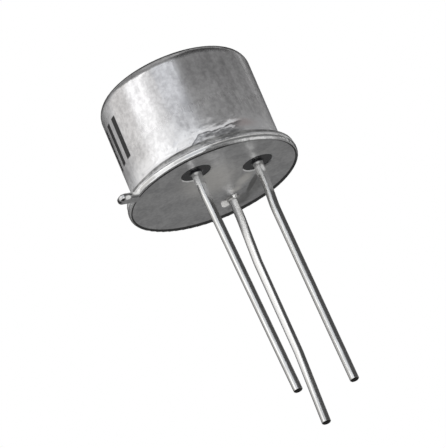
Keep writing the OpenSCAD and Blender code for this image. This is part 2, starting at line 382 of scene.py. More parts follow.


# Painted highlight of the burr with a painted shadow under it, and the drag marks below, painted darker in
# the grooves and lighter on the ridges. The returned highlights look white, and the furrows go to the bump
def addBurr(tree, metal, height, turned, uneven, finish):
    after, lift = finish["burrLift"]
    past = maths(tree, "MAXIMUM", maths(tree, "SUBTRACT", turned, after), 0.0)
    climb = maths(tree, "MULTIPLY", past, lift * mm)
    perRadian, perMetre = finish["marksScale"]
    unrolled = addNode(tree, "ShaderNodeCombineXYZ", inputs={
        0: maths(tree, "MULTIPLY", turned, perRadian),
        1: maths(tree, "MULTIPLY", maths(tree, "SUBTRACT", height, climb), perMetre)}).outputs[0]
    marks = noise(tree, unrolled, 1.0, 3.0, 0.55, 0.3)

    start, end, drop = finish["burrStep"]
    lower = ramp(tree, turned, start, end, drop * mm, 0.0)
    up, upTo, down, downTo, extra = finish["burrPeak"]
    peak = maths(tree, "MULTIPLY", ramp(tree, turned, up, upTo),
                 ramp(tree, turned, down, downTo, extra * mm, 0.0))
    wavy = maths(tree, "MULTIPLY", maths(tree, "SUBTRACT", uneven, 0.5), finish["burrWave"] * mm)
    level = maths(tree, "SUBTRACT", maths(tree, "ADD", height, lower), peak, climb, wavy,
                  finish["burrHeight"] * mm)

    inRun = band(tree, turned, *finish["burrRun"])
    # painted highlight on the burr, painted shadow under it, painted shade in the grooves and painted
    # highlight on the ridges
    burrHighlight = maths(tree, "MULTIPLY", inRun, bandMm(tree, level, *finish["burrBand"]))
    shadow = maths(tree, "MULTIPLY", inRun, bandMm(tree, level, *finish["burrShadow"]))
    under = maths(tree, "MULTIPLY", inRun, rampMm(tree, level, *finish["burrUnder"], 1.0, 0.0))
    nearBurr = maths(tree, "MULTIPLY", inRun, ramp(tree, turned, *finish["marksFrom"]),
                     rampMm(tree, level, *finish["marksReach"], 1.0, 0.0))
    grooveShade = maths(tree, "MULTIPLY", nearBurr, ramp(tree, marks, *finish["grooves"], 1.0, 0.0))
    ridgeHighlight = maths(tree, "MULTIPLY", nearBurr, ramp(tree, marks, *finish["ridges"]))
    for mask, (tone, strength) in zip((under, grooveShade, ridgeHighlight, shadow, burrHighlight), finish["burrTones"]):
        metal = coat(tree, metal, mask, finish[tone], strength)
    paintedHighlights = maths(tree, "MAXIMUM", burrHighlight, ridgeHighlight)
    return metal, paintedHighlights, maths(tree, "MULTIPLY", marks, nearBurr)


def wallSpot(tree, coords, finish, angle, up, wide, tall, core):
    centre = aroundAxis(angle, finish["wallRadius"], 0, up)
    return spotAt(tree, coords, centre, (1, wide, tall), core, angle)


# Painted highlights along the burr, then broad painted reflections, lighter and darker
def addPatches(tree, metal, coords, uneven, finish):
    patches = 0.0
    for *place, strength in finish["patches"]:
        spot = wallSpot(tree, coords, finish, *place)
        patches = maths(tree, "MAXIMUM", patches, maths(tree, "MULTIPLY", spot, strength))
    patches = maths(tree, "MULTIPLY", patches, ramp(tree, uneven, *finish["patchBreaks"]))
    metal = mixColour(tree, patches, metal, finish["burnishedAndHighlight"])
    for *place, strength, tone in finish["reflectionPatches"]:
        metal = coat(tree, metal, wallSpot(tree, coords, finish, *place), finish[tone], strength)
    return metal, patches


# Printed bars, evenly spaced round the wall
def makeBars(tree, coords, axes, finish):
    angle = maths(tree, "DEGREES", maths(tree, "ARCTAN2", axes[1], axes[0]))
    first = finish["barCentre"] - finish["barStep"] * (finish["barCount"] - 1) / 2
    along = maths(tree, "DIVIDE", maths(tree, "SUBTRACT", angle, first), finish["barStep"])
    offset = maths(tree, "ABSOLUTE", maths(tree, "SUBTRACT", along, maths(tree, "ROUND", along)))
    half, soft = finish["barWidth"] / finish["barStep"] / 2, finish["barSide"]
    bars = ramp(tree, offset, half - soft, half + soft, 1.0, 0.0)
    inRow = maths(tree, "MULTIPLY", maths(tree, "GREATER_THAN", along, -0.5),
                  maths(tree, "LESS_THAN", along, finish["barCount"] - 0.5))
    low, high = finish["barHeights"]
    end = finish["barEnd"]
    tall = bandMm(tree, axes[2], (low - end, low + end), (high - end, high + end))
    thin = placeGroup(tree, smudges, Vector=coords, Scale=3800.0, Low=0.22, High=0.36, Warp=0.2)
    return maths(tree, "MULTIPLY", bars, inRow, tall, thin)


def makeCapMaterial(finish):
    material, tree, shader = newMaterial("nickelCap")
    coords = objectCoords(tree)
    axes = split(tree, coords)
    height = axes[2]
    turned = emitterAngle(tree, axes)
    fine = placeGroup(tree, streaks, Vector=coords, Across=9000.0, Along=420.0, Low=0.35, High=0.65)
    broad = placeGroup(tree, streaks, Vector=coords, Across=1500.0, Along=190.0, Low=0.42, High=0.62)
    cloud = placeGroup(tree, smudges, Vector=coords, Scale=520.0, Low=0.45, High=0.7, Warp=0.8)
    grain = placeGroup(tree, smudges, Vector=coords, Scale=4200.0, Low=0.35, High=0.65, Warp=0.3)
    footMottle = placeGroup(tree, smudges, Vector=coords, Scale=1900.0, Low=0.42, High=0.62, Warp=0.4)
    wave = noise(tree, coords, 900.0, 3.0, 0.55, 0.8)
    uneven = noise(tree, coords, 1500.0, 3.0, 0.6, 0.2)

    clouded = maths(tree, "MULTIPLY", maths(tree, "ADD", cloud, broad), finish["cloudShare"])
    worn = maths(tree, "ADD", clouded, maths(tree, "MULTIPLY", grain, finish["grainShare"]))
    metal = mixColour(tree, worn, finish["clean"], finish["dull"])
    pressed, ripples = makeRipples(tree, coords, height, wave, finish)
    metal = mixColour(tree, pressed, metal, finish["burnishedAndHighlight"])
    flush = spotAt(tree, coords, *finish["flushSpot"])
    metal = coat(tree, metal, flush, finish["flush"], finish["flushShare"])
    metal, paintedHighlights, furrows = addBurr(tree, metal, height, turned, uneven, finish)
    metal, patches = addPatches(tree, metal, coords, uneven, finish)
    # Painted shade over the flange's rim and the foot of the wall, mottled
    footShade = bandMm(tree, height, *finish["footShadeBand"])
    footShaded = mixColour(tree, footMottle, finish["footShade"], finish["footShadeLight"])
    metal = mixColour(tree, footShade, metal, footShaded)
    # Painted shade in the fold between the wall and the flange, in the ink's black
    foldShade = maths(tree, "MULTIPLY", bandMm(tree, height, *finish["foldShade"]),
                 band(tree, turned, *finish["foldShadeRun"]), ramp(tree, uneven, *finish["foldShadeBreaks"]))
    metal = coat(tree, metal, foldShade, finish["ink"], finish["foldShadeShare"])
    lid = rampMm(tree, height, *finish["lid"])
    metal = coat(tree, metal, lid, finish["dull"], finish["lidDull"])
    ink = makeBars(tree, coords, axes, finish)
    tree.links.new(mixColour(tree, ink, metal, finish["ink"]), shader.inputs["Base Color"])

    foot, top, crown = finish["metallicFoot"], finish["metallicTop"], finish["metallicCrown"]
    plating = maths(tree, "ADD", rampMm(tree, height, *finish["metallicClimb"], foot, top),
                    rampMm(tree, height, *finish["crownClimb"], 0.0, crown - top))
    paintedHighlights = maths(tree, "MAXIMUM", paintedHighlights, patches)
    plating = maths(tree, "MULTIPLY", plating, allBut(tree, paintedHighlights, finish["whiteHighlights"]),
                    allBut(tree, ink))
    tree.links.new(plating, shader.inputs["Metallic"])

    upTheWall = rampMm(tree, height, *finish["roughClimb"])
    satin = ramp(tree, upTheWall, 0.0, 1.0, finish["roughFoot"], finish["roughTop"])
    rough = maths(tree, "ADD", satin, maths(tree, "MULTIPLY", lid, finish["lidRough"]),
                  maths(tree, "MULTIPLY", maths(tree, "ADD", fine, cloud), finish["roughSpread"] / 2),
                  maths(tree, "MULTIPLY", footShade, finish["roughFootShade"]))
    rough = maths(tree, "MAXIMUM", rough, maths(tree, "MULTIPLY", ink, finish["roughInk"]))
    tree.links.new(rough, shader.inputs["Roughness"])

    low, high, rest = finish["waveFade"]
    waves = maths(tree, "MULTIPLY", wave, rampMm(tree, height, low, high, 1.0, rest))
    normal = bumpFrom(tree, ripples, finish["rippleDepth"])
    normal = bumpFrom(tree, waves, finish["waveDepth"], normal)
    normal = bumpFrom(tree, furrows, finish["marksDepth"], normal)
    normal = bumpFrom(tree, maths(tree, "ADD", fine, grain), finish["brushDepth"], normal)
    tree.links.new(normal, shader.inputs["Normal"])
    return material


# Header: satin plate with a painted shade ring under the rim, and a polished edge with a painted highlight at
# the joint.
# Lengths are in mm. A spot is its centre, half sizes and core, and a band its radius, heights and softness
headerFinish = {
    "clean": (0.58, 0.58, 0.58, 1),
    "dull": (0.44, 0.44, 0.445, 1),
    "warm": (0.66, 0.645, 0.615, 1),
    "darkPatch": (0.15, 0.148, 0.145, 1),
    # painted shade at the rim and on the tab
    "rimShade": (0.035, 0.035, 0.035, 1),
    "edge": (0.56, 0.56, 0.56, 1),
    "lipGlint": (0.93, 0.93, 0.92, 1),             # painted highlight at the lip of the seal holes, on one side, also used on the lower edge and the tab
    # painted highlight on the upper part of the rim, at the joint with the cap
    "edgeHighlight": (0.90, 0.90, 0.89, 1),
    "roughLow": 0.29,
    "roughHigh": 0.42,
    "roughEdge": 0.15,
    "roughWarm": 0.22,
    "metallic": 0.9,
    "edgeMetallic": 0.75,
    "edgeHighlightMetallic": 0.35,
    "warmDulling": 0.3,
    "whiteMarks": 0.9,                        # painted highlights on the lips, the lower edge and the tab are this much less of a mirror
    "grainDepth": 0.0012,
    "tabTurn": 135,                           # degrees round the can, counted from +X
    "tabSpot": ((5.1, 0, 0), (0.72, 0.6, 2), 0.93),
    "ringTurn": 13.5,                         # the painted shade ring is wider along this direction, and off centre
    "ringStretch": 1.050,
    "ringCentre": (-0.150, -0.036, 0),
    "ringBand": (4.215, -0.1, 0.018, 0.012),
    "ringFadeSpot": ((-2.4, -3.8, 0), (2.4, 2.4, 1), 0.5),
    "ringFadeShare": 0.5,
    "warmSpot": ((-0.9, -0.1, 0), (2.9, 2.3, 1.0), 0.2),
    "warmShare": 0.7,
    "edgeBand": (4.47, 0.015, 0.5, 0.012),
    "edgeHighlightBand": (4.42, 0.225, 0.5, 0.03),
    "edgeHighlightPatches": (0.55, 0.45),            # how much is left everywhere, and how much comes and goes
    "edgeGlintBand": (4.44, 0.008, 0.105, 0.012),
    "edgeGlintPatches": (0.35, 0.65),
    "edgeGlint": ((208.0, 224.0), (242.0, 254.0)),   # the lower edge gets a painted highlight between these angles
    "lipHeights": (0.002, 0.006),
    "lipShare": 0.65,
    "lipGlintSpots": (((-2.14, 0.69, 0), (0.6, 0.6, 0.2), 0.6), ((0.40, -1.85, 0), (0.6, 0.6, 0.2), 0.6)),
    # painted shade and painted highlights on the tab: their centres are out along it, across it and up
    "tabShadeMarks": (((5.38, 0.20, 0.08), (0.13, 0.13, 0.3), 0.3), ((5.33, -0.24, 0.08), (0.15, 0.15, 0.3), 0.3),
                 ((5.50, -0.06, 0.08), (0.18, 0.18, 0.3), 0.3)),
    "tabGlints": (((5.13, 0.35, 0.04), (0.21, 0.21, 0.15), 0.5),
                  ((4.66, 0.50, 0.20), (0.30, 0.30, 0.15), 0.5)),
    # x, y, turn in degrees, half length, half width, core, strength
    "pales": ((1.00, -1.30, 48.0, 0.95, 0.55, 0.3, 0.9), (1.70, -0.58, 60.0, 0.50, 0.42, 0.3, 0.9)),
    # darker patches on the underside, one a long diagonal band
    "darkPatches": ((1.93, -1.44, 37.5, 1.35, 0.22, 0.55, 0.75), (2.35, -1.55, 37.5, 1.6, 0.60, 0.25, 0.45),
               (3.10, -0.45, 40.0, 0.85, 0.50, 0.4, 0.6), (3.55, 0.15, 95.0, 0.8, 0.28, 0.3, 0.5)),
}


# Spots on the underside, one over the other; their strongest comes back too
def addSpots(tree, base, coords, spots, colour):
    strongest = 0.0
    for x, y, turn, length, width, core, strength in spots:
        spot = spotAt(tree, coords, (x, y, 0), (length, width, 1), core, turn)
        faint = maths(tree, "MULTIPLY", spot, strength)
        base = mixColour(tree, faint, base, colour)
        strongest = maths(tree, "MAXIMUM", strongest, faint)
    return base, strongest


# Painted shade: a dark ring under the rim, which ends at the tab and is lighter on one side
def makeRingShade(tree, coords, offTab, finish):
    oval = addNode(tree, "ShaderNodeMapping", {"vector_type": "TEXTURE"}, {
        "Vector": coords, "Location": fromMm(*finish["ringCentre"]),
        "Rotation": (0, 0, math.radians(finish["ringTurn"])),
        "Scale": (1, finish["ringStretch"], 1)}).outputs[0]
    faded = spotAt(tree, coords, *finish["ringFadeSpot"])
    return maths(tree, "MULTIPLY", rimAt(tree, oval, *finish["ringBand"]), offTab,
                 allBut(tree, faded, finish["ringFadeShare"]))


# Painted highlight on the lower edge; the angle is in degrees from +X, 0 to 360
def makeEdgeGlint(tree, coords, axes, chipped, finish):
    angle = maths(tree, "ADD", 180.0, maths(tree, "DEGREES", emitterAngle(tree, axes)))
    return maths(tree, "MULTIPLY", band(tree, angle, *finish["edgeGlint"]),
                 rimAt(tree, coords, *finish["edgeGlintBand"]), patchy(tree, chipped, *finish["edgeGlintPatches"]))


# The strongest of several spots, whose centres may be turned round the axis
def gather(tree, coords, spots, turn=0):
    mask = 0.0
    for centre, size, core in spots:
        mask = maths(tree, "MAXIMUM", mask, spotAt(tree, coords, aroundAxis(turn, *centre), size, core))
    return mask


def makeHeaderMaterial(finish):
    material, tree, shader = newMaterial("nickelHeader")
    coords = objectCoords(tree)
    axes = split(tree, coords)
    tabTurn = finish["tabTurn"]
    cloud = placeGroup(tree, smudges, Vector=coords, Scale=760.0, Low=0.38, High=0.62, Warp=0.6)
    grain = placeGroup(tree, smudges, Vector=coords, Scale=4800.0, Low=0.36, High=0.64, Warp=0.0)
    chipped = placeGroup(tree, smudges, Vector=coords, Scale=1700.0, Low=0.34, High=0.54, Warp=0.3)
    blotchy = mean(tree, cloud, grain)
    warm = spotAt(tree, coords, *finish["warmSpot"])
    centre, size, core = finish["tabSpot"]
    tab = spotAt(tree, coords, aroundAxis(tabTurn, *centre), size, core, tabTurn)
    offTab = allBut(tree, tab)
    ringShade = makeRingShade(tree, coords, offTab, finish)
    edge = rimAt(tree, coords, *finish["edgeBand"])
    edgeHighlight = maths(tree, "MULTIPLY", offTab, rimAt(tree, coords, *finish["edgeHighlightBand"]),
                   patchy(tree, chipped, *finish["edgeHighlightPatches"]))
    edgeGlint = makeEdgeGlint(tree, coords, axes, chipped, finish)
    lipGlint = maths(tree, "MULTIPLY", rampMm(tree, axes[2], *finish["lipHeights"]),
                gather(tree, coords, finish["lipGlintSpots"]))
    # painted shade and painted highlights on the tab's nose
    tabShade = gather(tree, coords, finish["tabShadeMarks"], tabTurn)
    glint = gather(tree, coords, finish["tabGlints"], tabTurn)

    base = mixColour(tree, blotchy, finish["clean"], finish["dull"])
    base = coat(tree, base, warm, finish["warm"], finish["warmShare"])
    base, pale = addSpots(tree, base, coords, finish["pales"], finish["warm"])
    base = addSpots(tree, base, coords, finish["darkPatches"], finish["darkPatch"])[0]
    faintLipGlint = maths(tree, "MULTIPLY", lipGlint, finish["lipShare"])
    # painted shade at the rim and the tab, and painted highlights on the rim, lower edge, lips and tab
    for mask, tone in ((ringShade, "rimShade"), (edge, "edge"), (edgeHighlight, "edgeHighlight"), (edgeGlint, "lipGlint"),
                       (faintLipGlint, "lipGlint"), (tabShade, "rimShade"), (glint, "lipGlint")):
        base = mixColour(tree, mask, base, finish[tone])
    tree.links.new(base, shader.inputs["Base Color"])

    plain, polished, dulled = finish["metallic"], finish["edgeMetallic"], finish["edgeHighlightMetallic"]
    warmed = maths(tree, "MULTIPLY", maths(tree, "MAXIMUM", warm, pale), finish["warmDulling"])
    plating = maths(tree, "ADD", ramp(tree, edge, 0.0, 1.0, plain, polished),
                    ramp(tree, edgeHighlight, 0.0, 1.0, 0.0, dulled - polished),
                    maths(tree, "MULTIPLY", tab, edge, plain - polished))
    marks = maths(tree, "MAXIMUM", edgeGlint, lipGlint, glint)
    plating = maths(tree, "MULTIPLY", maths(tree, "SUBTRACT", plating, warmed),
                    allBut(tree, marks, finish["whiteMarks"]))
    tree.links.new(plating, shader.inputs["Metallic"])

    satin = ramp(tree, blotchy, 0.0, 1.0, finish["roughLow"], finish["roughHigh"])
    keen = maths(tree, "MULTIPLY", edge, maths(tree, "SUBTRACT", satin, finish["roughEdge"]))
    rough = maths(tree, "ADD", maths(tree, "SUBTRACT", satin, keen),
                  maths(tree, "MULTIPLY", warm, finish["roughWarm"]))
    tree.links.new(rough, shader.inputs["Roughness"])
    tree.links.new(bumpFrom(tree, grain, finish["grainDepth"]), shader.inputs["Normal"])
    return material


# Glass seals: black bead, and a thin metal-grey film of it along the lead. Lengths are in mm
sealFinish = {
    "bead": (0.010, 0.010, 0.012, 1),
    "film": (0.74, 0.74, 0.735, 1),
    "filmDark": (0.56, 0.56, 0.555, 1),
    "filmRoot": (0.30, 0.30, 0.30, 1),
    "rootHighlightTone": (0.97, 0.97, 0.96, 1),
    "specular": 0.28,
    "roughBead": 0.16,
    "roughFilm": 0.26,
    "filmMetallic": 0.7,
    "filmTop": (-0.06, -0.01),
    "filmFade": (-0.20, -0.09),               # the film darkens between these heights, towards the glass
    "plainRoot": 0.85,                        # the darkened root and the painted highlights lose this much of the shine
    "mottleShare": 0.5,
    "mottleDepth": 0.003,
    # painted highlights on the film at the leads' roots: centre, half sizes, core
    "rootHighlights": (((-2.80, -0.07, -0.09), (0.16, 0.16, 0.13), 0.3),
                  ((-0.27, -2.61, -0.09), (0.16, 0.16, 0.13), 0.3),
                  ((-0.19, -2.74, -0.42), (0.16, 0.16, 0.32), 0.3)),
}


def makeSealMaterial(finish):
    material, tree, shader = newMaterial("sealGlass")
    coords = objectCoords(tree)
    height = split(tree, coords)[2]
    mottled = placeGroup(tree, smudges, Vector=coords, Scale=2600.0, Low=0.3, High=0.7, Warp=0.4)
    film = rampMm(tree, height, *finish["filmTop"], 1.0, 0.0)
    nearGlass = rampMm(tree, height, *finish["filmFade"])
    # painted highlights on the front of the leads' roots
    spots = maths(tree, "MULTIPLY", gather(tree, coords, finish["rootHighlights"]), film)
    grey = coat(tree, finish["film"], mottled, finish["filmDark"], finish["mottleShare"])
    grey = mixColour(tree, nearGlass, grey, finish["filmRoot"])
    grey = mixColour(tree, spots, grey, finish["rootHighlightTone"])
    tree.links.new(mixColour(tree, film, finish["bead"], grey), shader.inputs["Base Color"])
    plain = maths(tree, "MULTIPLY", maths(tree, "MAXIMUM", nearGlass, spots), finish["plainRoot"])
    shine = ramp(tree, plain, 0.0, 1.0, finish["filmMetallic"], 0.0)
    tree.links.new(maths(tree, "MULTIPLY", film, shine), shader.inputs["Metallic"])
    tree.links.new(ramp(tree, film, 0.0, 1.0, finish["roughBead"], finish["roughFilm"]),
                   shader.inputs["Roughness"])
    shader.inputs["Specular IOR Level"].default_value = finish["specular"]
    tree.links.new(bumpFrom(tree, mottled, finish["mottleDepth"]), shader.inputs["Normal"])
    return material


# Leads: tinned wire, dark where it is cut, with painted shade on their sides and a painted highlight on the
# collector lead. Angles are in degrees round the can, counted from +X, heights in mm from faint to full, and
# facings from faint to full: 1 is a surface that faces the angle straight on.
wireFinish = {
    "bright": (0.81, 0.81, 0.80, 1),
    "dull": (0.63, 0.63, 0.62, 1),
    "cut": (0.055, 0.052, 0.05, 1),
    "cutHeight": (0.035, 0.055),
    "roughCut": 0.6,
    "roughLow": 0.20,
    "roughHigh": 0.32,
    "lumpDepth": 0.0025,
    "drawnDepth": 0.0003,
    # painted shade on the side of each lead that faces this angle
    "sideShade": (0.40, 0.40, 0.395, 1),
    "sideShadeAngle": 118.0,
    "sideShadeFacing": {"emitter_lead": (0.58, 0.90), "base_lead": (0.58, 0.90),
                      "collector_lead": (0.46, 0.84)},
    # painted shade on the right flanks of the sealed leads near the glass
    "flankShade": {"emitter_lead": (0.62, 0.62, 0.62, 1), "base_lead": (0.42, 0.42, 0.42, 1)},
    "flankHeight": {"emitter_lead": (-1.9, -1.1), "base_lead": (-1.9, -1.5)},
    "flankSide": 256.0,
    "flankFacing": (0.50, 0.80),
    "flankDulling": 0.75,
    # painted shade on one side of the collector lead near the header
    "rootShade": (0.34, 0.34, 0.34, 1),
    "rootShadeSide": 140.0,
    "rootShadeFacing": (0.45, 0.80),
    "rootShadeHeight": (-2.7, -1.5),
    # painted highlight on the collector lead, a pale run that winds round it towards the header; its surface
    # leans as on a raised seam
    "paleHighlight": (1.0, 1.0, 0.995, 1),
    "highlightSides": (162.0, 184.0, 214.0),        # at the tip, near the header and beside it
    "highlightTurns": ((-12.0, -2.2), (-2.8, -0.7)),
    "highlightHeight": (-12.5, -8.0),
    "highlightFacing": (0.70, 0.98),
    "highlightMetallic": 0.62,
    "highlightLeanSide": 120.0,                     # the surface under the painted highlight leans to this side, by this much
    "highlightLean": 0.75,
}


# How straight the surface faces an angle round the can, in radians
def facing(tree, angle):
    normal = split(tree, tree.nodes.new("ShaderNodeNewGeometry").outputs["Normal"])
    return maths(tree, "ADD", maths(tree, "MULTIPLY", normal[0], maths(tree, "COSINE", angle)),
                 maths(tree, "MULTIPLY", normal[1], maths(tree, "SINE", angle)))


def sideMask(tree, degrees, facings):
    return ramp(tree, facing(tree, math.radians(degrees)), *facings)


def makeHighlightRun(tree, height, finish):
    tip, near, beside = (math.radians(side) for side in finish["highlightSides"])
    lower, upper = finish["highlightTurns"]
    turn = maths(tree, "ADD", rampMm(tree, height, *lower, tip, near),
                 rampMm(tree, height, *upper, 0.0, beside - near))
    return maths(tree, "MULTIPLY", ramp(tree, facing(tree, turn), *finish["highlightFacing"]),
                 rampMm(tree, height, *finish["highlightHeight"]))


# Leans the surface to one side under a mask
def leanNormal(tree, normal, mask, degrees, strength):
    side = (math.cos(math.radians(degrees)), math.sin(math.radians(degrees)), 0.0)
    lean = addNode(tree, "ShaderNodeVectorMath", {"operation": "SCALE"}, {
        "Vector": side, "Scale": maths(tree, "MULTIPLY", mask, strength)}).outputs[0]
    leant = addNode(tree, "ShaderNodeVectorMath", {"operation": "ADD"}, {0: normal, 1: lean}).outputs[0]
    return addNode(tree, "ShaderNodeVectorMath", {"operation": "NORMALIZE"}, {0: leant}).outputs[0]


def makeWireMaterial(lead, tip, finish):
    material, tree, shader = newMaterial("tinnedWire_" + lead)
    coords = objectCoords(tree)
    height = split(tree, coords)[2]
    drawn = placeGroup(tree, streaks, Vector=coords, Across=14000.0, Along=700.0, Low=0.35, High=0.65)
    lumps = placeGroup(tree, streaks, Vector=coords, Across=2600.0, Along=900.0, Low=0.3, High=0.7)
    wire = mixColour(tree, mean(tree, drawn, lumps), finish["bright"], finish["dull"])
    sideShaded = sideMask(tree, finish["sideShadeAngle"], finish["sideShadeFacing"][lead])
    wire = mixColour(tree, sideShaded, wire, finish["sideShade"])
    normal = bumpFrom(tree, lumps, finish["lumpDepth"])

    if lead in finish["flankShade"]:
        shadedFlank = maths(tree, "MULTIPLY", sideMask(tree, finish["flankSide"], finish["flankFacing"]),
                      rampMm(tree, height, *finish["flankHeight"][lead]))
        wire = mixColour(tree, shadedFlank, wire, finish["flankShade"][lead])
        metallic = allBut(tree, shadedFlank, finish["flankDulling"])
    else:
        rootShade = maths(tree, "MULTIPLY", sideMask(tree, finish["rootShadeSide"], finish["rootShadeFacing"]),
                      rampMm(tree, height, *finish["rootShadeHeight"]))
        wire = mixColour(tree, rootShade, wire, finish["rootShade"])
        # painted highlight winding down the collector lead
        run = makeHighlightRun(tree, height, finish)
        wire = mixColour(tree, run, wire, finish["paleHighlight"])
        metallic = ramp(tree, run, 0.0, 1.0, 1.0, finish["highlightMetallic"])
        normal = leanNormal(tree, normal, run, finish["highlightLeanSide"], finish["highlightLean"])
    tree.links.new(metallic, shader.inputs["Metallic"])

    low, high = fromMm(*finish["cutHeight"])
    cut = ramp(tree, height, tip + low, tip + high, 1.0, 0.0)
    tree.links.new(mixColour(tree, cut, wire, finish["cut"]), shader.inputs["Base Color"])
    rough = ramp(tree, drawn, 0.0, 1.0, finish["roughLow"], finish["roughHigh"])
    rough = maths(tree, "MAXIMUM", rough, maths(tree, "MULTIPLY", cut, finish["roughCut"]))
    tree.links.new(rough, shader.inputs["Roughness"])
    tree.links.new(bumpFrom(tree, drawn, finish["drawnDepth"], normal), shader.inputs["Normal"])
    return material


# The small metals: two tones, a roughness range and a grain, whose depth is in mm
smallFinishes = {
    "braze": {"light": (0.44, 0.435, 0.425, 1), "dark": (0.30, 0.295, 0.285, 1), "metallic": 0.5,
              "rough": (0.30, 0.45), "scale": 5200.0, "depth": 0.004},
    # the braze bead and run are near white: braze, partly a painted highlight
    "brazeBeadGlint": {"light": (1.0, 0.995, 0.98, 1), "dark": (0.96, 0.955, 0.94, 1), "metallic": 0.6,
                  "rough": (0.14, 0.24), "scale": 5200.0, "depth": 0.003},
    "brazeRunGlint": {"light": (0.97, 0.96, 0.94, 1), "dark": (0.82, 0.81, 0.79, 1), "metallic": 0.0,
                 "rough": (0.22, 0.40), "scale": 3800.0, "depth": 0.006},
    "silicon": {"light": (0.115, 0.120, 0.150, 1), "dark": (0.070, 0.074, 0.100, 1), "metallic": 0.6,
                "rough": (0.10, 0.22), "scale": 2600.0, "depth": 0.0006},
    "goldSolder": {"light": (0.72, 0.52, 0.22, 1), "dark": (0.52, 0.36, 0.15, 1), "metallic": 1.0,
                   "rough": (0.22, 0.42), "scale": 6500.0, "depth": 0.004},
    "bondMetal": {"light": (0.80, 0.80, 0.81, 1), "dark": (0.62, 0.62, 0.63, 1), "metallic": 1.0,
                  "rough": (0.16, 0.32), "scale": 9000.0, "depth": 0.002},
}


def makeSmallMaterial(name, finish):
    material, tree, shader = newMaterial(name)
    coords = objectCoords(tree)
    mottled = placeGroup(tree, smudges, Vector=coords, Scale=finish["scale"], Low=0.35, High=0.65, Warp=0.5)
    tree.links.new(mixColour(tree, mottled, finish["light"], finish["dark"]), shader.inputs["Base Color"])
    shader.inputs["Metallic"].default_value = finish["metallic"]
    tree.links.new(ramp(tree, mottled, 0.0, 1.0, *finish["rough"]), shader.inputs["Roughness"])
    tree.links.new(bumpFrom(tree, mottled, finish["depth"]), shader.inputs["Normal"])
    return material


def dress(material, *names):
    for name in names:
        mesh = nodes[name].data
        mesh.materials.clear()
        mesh.materials.append(material)


dress(makeCapMaterial(capFinish), "cap")
dress(makeHeaderMaterial(headerFinish), "header")
dress(makeSealMaterial(sealFinish), "emitter_seal", "base_seal")
for lead in ("emitter_lead", "base_lead", "collector_lead"):
    dress(makeWireMaterial(lead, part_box(lead)[0].z, wireFinish), lead)
small = {name: makeSmallMaterial(name, finish) for name, finish in smallFinishes.items()}
dress(small["braze"], "collector_braze")
dress(small["silicon"], "chip")
dress(small["goldSolder"], "chip_solder")
dress(small["bondMetal"], "emitter_wire", "base_wire")
print("materials:", len(bpy.data.materials))


# Two small runs of braze beside the collector lead's root, near white as a painted highlight. Lengths are in
# mm, turns in degrees
def finishPiece(mesh, name, material, solid=True):
    built = bpy.data.meshes.new(name)
    if solid:
        bmesh.ops.recalc_face_normals(mesh, faces=mesh.faces)
    for face in mesh.faces:
        face.smooth = solid
    mesh.to_mesh(built)
    mesh.free()
    built.materials.append(material)
    piece = bpy.data.objects.new(name, built)
    scene.collection.objects.link(piece)
    return piece


def placeBraze(mesh, name, centre):
    bmesh.ops.translate(mesh, verts=mesh.verts, vec=fromMm(*centre))
    piece = finishPiece(mesh, name, small[name])
    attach(piece, "root")


# A drop: its outline is given as shares of the waist and of the height, from the waist down
brazeBeadGlint = {
    "centre": (2.27, -0.22, 0),
    "foot": 0.17,
    "waist": 0.115,
    "height": 0.17,
    "sunk": 0.02,
    "outline": ((1.05, 0.12), (1.0, 0.45), (0.72, 0.85), (0.0, 1.0)),
    "steps": 20,
    "rounding": 0.6,
}


def makeBrazeBead(settings):
    mesh = bmesh.new()
    foot, waist, height, sunk = fromMm(*(settings[name] for name in ("foot", "waist", "height", "sunk")))
    outline = [(foot, sunk)] + [(waist * out, -height * down) for out, down in settings["outline"]]
    points = [mesh.verts.new((x, 0, z)) for x, z in outline]
    edges = [mesh.edges.new(pair) for pair in zip(points, points[1:])]
    bmesh.ops.spin(mesh, geom=points + edges, cent=(0, 0, 0), axis=(0, 0, 1), angle=2 * math.pi,
                   steps=settings["steps"], use_merge=True)
    bmesh.ops.remove_doubles(mesh, verts=mesh.verts, dist=0.0005 * mm)
    bmesh.ops.holes_fill(mesh, edges=[edge for edge in mesh.edges if edge.is_boundary])
    bmesh.ops.subdivide_edges(mesh, edges=mesh.edges, cuts=1, smooth=settings["rounding"], use_grid_fill=True)
    placeBraze(mesh, "brazeBeadGlint", settings["centre"])


# A flat run: the corners of its outline have three times the radius of its lower edge
brazeRunGlint = {
    "centre": (2.63, 0.47, 0),
    "length": 0.72,
    "width": 0.42,
    "height": 0.07,
    "sunk": 0.02,
    "turn": 17,
    "edgeRadius": 0.045,
    "segments": 4,
}


def roundEdges(mesh, edges, radius, segments):
    bmesh.ops.bevel(mesh, geom=edges, offset=radius * mm, offset_type="OFFSET", affect="EDGES",
                    segments=segments, profile=0.5, material=-1)


def isUpright(edge, deep):
    return abs(edge.verts[0].co.z - edge.verts[1].co.z) > deep / 2


def makeBrazeRun(settings):
    mesh = bmesh.new()
    length, width, height, sunk = fromMm(*(settings[name] for name in ("length", "width", "height", "sunk")))
    deep = height + sunk
    bmesh.ops.create_cube(mesh, size=1.0)
    bmesh.ops.scale(mesh, verts=mesh.verts, vec=(length, width, deep))
    bmesh.ops.translate(mesh, verts=mesh.verts, vec=(0, 0, sunk - deep / 2))
    radius, segments = settings["edgeRadius"], settings["segments"]
    roundEdges(mesh, [edge for edge in mesh.edges if isUpright(edge, deep)], 3 * radius, segments)
    underside = min(mesh.faces, key=lambda face: face.calc_center_median().z)
    roundEdges(mesh, list(underside.edges), radius, segments)
    bmesh.ops.rotate(mesh, verts=mesh.verts, cent=(0, 0, 0),
                     matrix=Matrix.Rotation(math.radians(settings["turn"]), 3, "Z"))
    placeBraze(mesh, "brazeRunGlint", settings["centre"])


